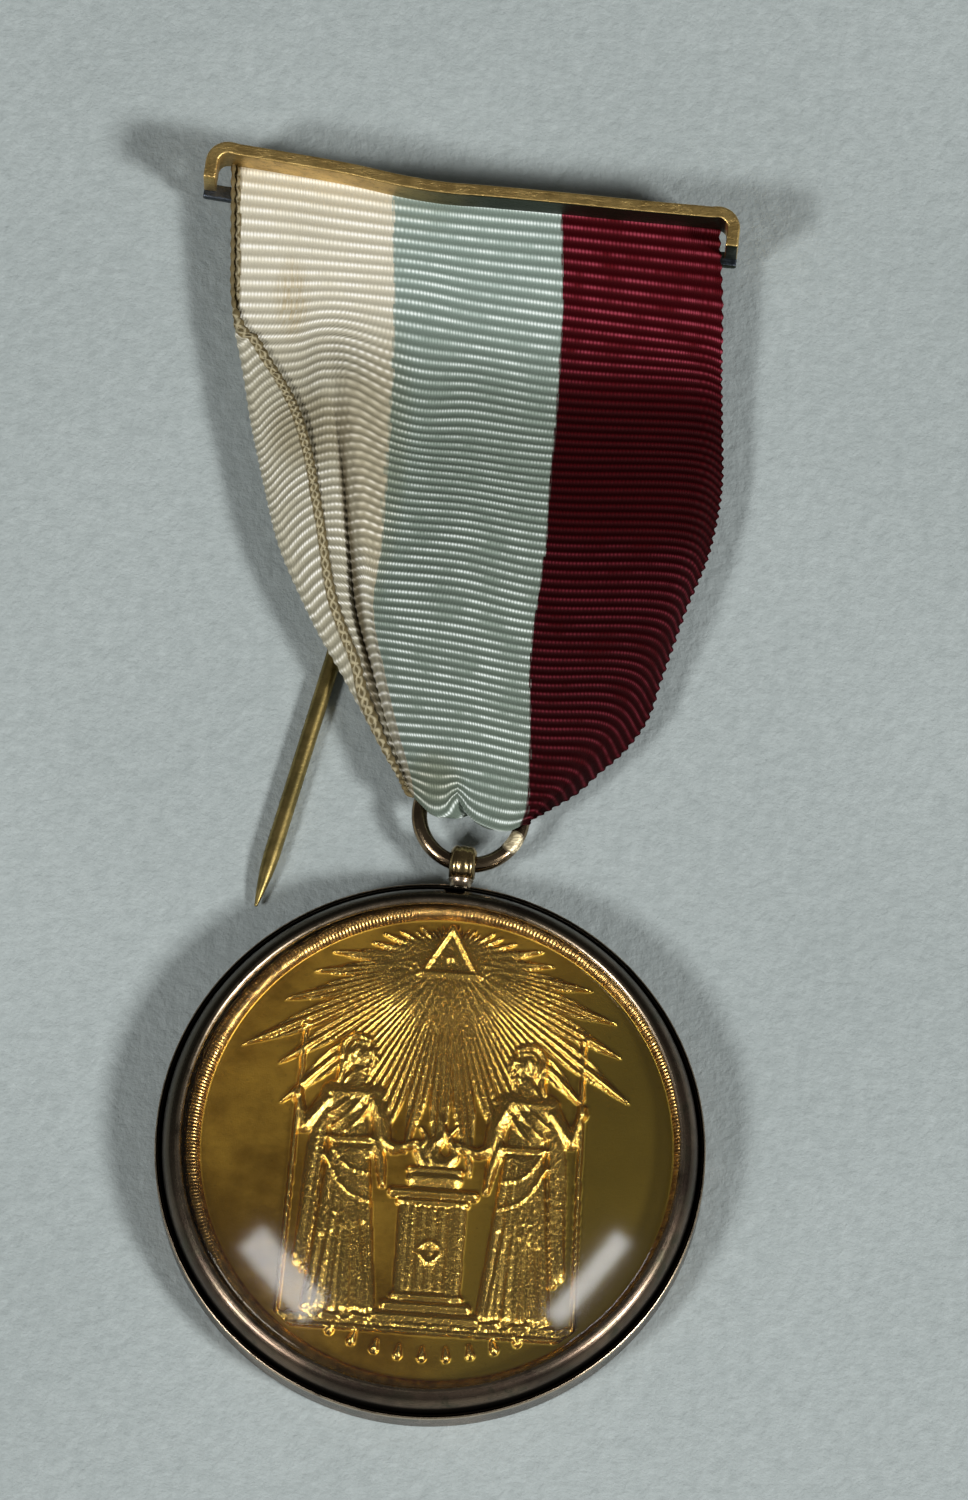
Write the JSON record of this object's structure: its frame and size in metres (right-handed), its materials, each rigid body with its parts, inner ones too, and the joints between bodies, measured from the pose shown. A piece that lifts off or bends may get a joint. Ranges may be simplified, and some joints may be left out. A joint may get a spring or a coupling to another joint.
{
  "type": "masonic jewel",
  "caption": "Breast jewel: a struck gilt medal in a round glazed case, hung by a wire ring from a striped ribbed ribbon on a bar brooch with a prong pin.",
  "frame": {"origin": "centre of the case's flat back, where it rests on the table", "axes": "+Y from the case to the bar, +Z out of the table towards the viewer, +X to the right"},
  "size_m": [0.0521, 0.117, 0.0091],
  "materials": {
    "bar_brass": "old brass, darkened and pitted",
    "ribbon_silk": "ribbed silk in white, pale blue and crimson stripes",
    "ring_gilt": "worn gilding, grey in the wear",
    "case_gilt": "polished gilding, toned rose-brown",
    "watch_glass": "clear and polished",
    "medal_gilt": "bright gilding, frosted on the relief"
  },
  "bodies": {
    "root": {"brooch_bar": "bar_brass", "ribbon": "ribbon_silk", "suspension_ring": "ring_gilt", "case_back": "case_gilt", "case_front": "case_gilt", "front_crystal": "watch_glass", "medal": "medal_gilt"}
  },
  "joints": []
}
